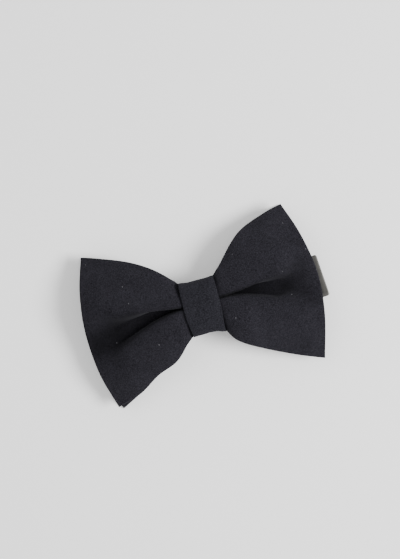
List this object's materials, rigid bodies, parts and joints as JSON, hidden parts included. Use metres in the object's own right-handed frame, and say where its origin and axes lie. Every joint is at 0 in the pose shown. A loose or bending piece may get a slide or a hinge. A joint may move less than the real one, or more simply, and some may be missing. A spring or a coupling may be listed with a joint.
{
  "type": "bow tie",
  "caption": "Pre-tied bow tie with two layered pleated blades, a knot loop and a folding neckband with slide adjuster, hook and eye ring.",
  "frame": {"origin": "on the surface the tie lies on, straight below the middle of the knot", "axes": "+X along the bow towards the wing over the eye ring, +Y to the bow's top edge, +Z out of the bow's face"},
  "size_m": [0.123, 0.0792, 0.0214],
  "materials": {
    "black_cloth": "matte black twill, fine weave",
    "band_cloth": "matte black cloth tape",
    "canvas_interlining": "undyed stiff canvas",
    "black_thread": "spun black sewing thread",
    "grey_metal": "dull nickel grey plating"
  },
  "bodies": {
    "bow": {"front_blade_face": "black_cloth", "front_blade_interlining": "canvas_interlining", "front_blade_backing": "black_cloth", "rear_blade_face": "black_cloth", "rear_blade_interlining": "canvas_interlining", "rear_blade_backing": "black_cloth", "gather_thread": "black_thread", "knot_loop": "black_cloth", "knot_interlining": "canvas_interlining", "knot_closing_stitch": "black_thread", "neckband_first_run": "band_cloth", "ring_end_tack": "black_thread", "neckband_first_fold": "band_cloth"},
    "band_second": {"neckband_second_run": "band_cloth", "neckband_second_fold": "band_cloth"},
    "band_third": {"neckband_third_run": "band_cloth", "neckband_third_fold": "band_cloth"},
    "band_fourth": {"neckband_fourth_run": "band_cloth", "neckband_hook_turn": "band_cloth", "neckband_return_run": "band_cloth"},
    "slider": {"slide_adjuster": "grey_metal", "neckband_sewn_end": "band_cloth"},
    "hook": {"hook": "grey_metal"},
    "ring": {"eye_ring": "grey_metal"}
  },
  "joints": [
    {"name": "band_unfold", "type": "hinge", "parent": "bow", "child": "band_second", "pos_m": [-0.056, -0.0011, 0.00795], "axis": [0, 1, 0], "range_deg": [0, 180], "deforming": ["neckband_first_fold"]},
    {"name": "band_second_fold", "type": "hinge", "parent": "band_second", "child": "band_third", "pos_m": [0.05, -0.0011, 0.00585], "axis": [0, 1, 0], "range_deg": [-180, 0], "deforming": ["neckband_second_fold"]},
    {"name": "band_third_fold", "type": "hinge", "parent": "band_third", "child": "band_fourth", "pos_m": [-0.05, -0.0011, 0.00435], "axis": [0, 1, 0], "range_deg": [0, 180], "deforming": ["neckband_third_fold"]},
    {"name": "adjuster_slide", "type": "slide", "parent": "band_fourth", "child": "slider", "axis": [1, 0, 0], "range_m": [0, 0.03], "deforming": ["neckband_return_run"]},
    {"name": "hook_pivot", "type": "hinge", "parent": "band_fourth", "child": "hook", "pos_m": [0.032, -0.0011, 0.00185], "axis": [0, 1, 0], "range_deg": [0, 60]},
    {"name": "ring_pivot", "type": "hinge", "parent": "bow", "child": "ring", "pos_m": [0.0544, -0.0011, 0.00825], "axis": [-0.0645, 0.9979, 0], "range_deg": [0, 55]}
  ],
  "couplings": [
    {"joint": "band_second_fold", "follows": "band_unfold", "ratio": -1},
    {"joint": "band_third_fold", "follows": "band_unfold", "ratio": 1}
  ]
}
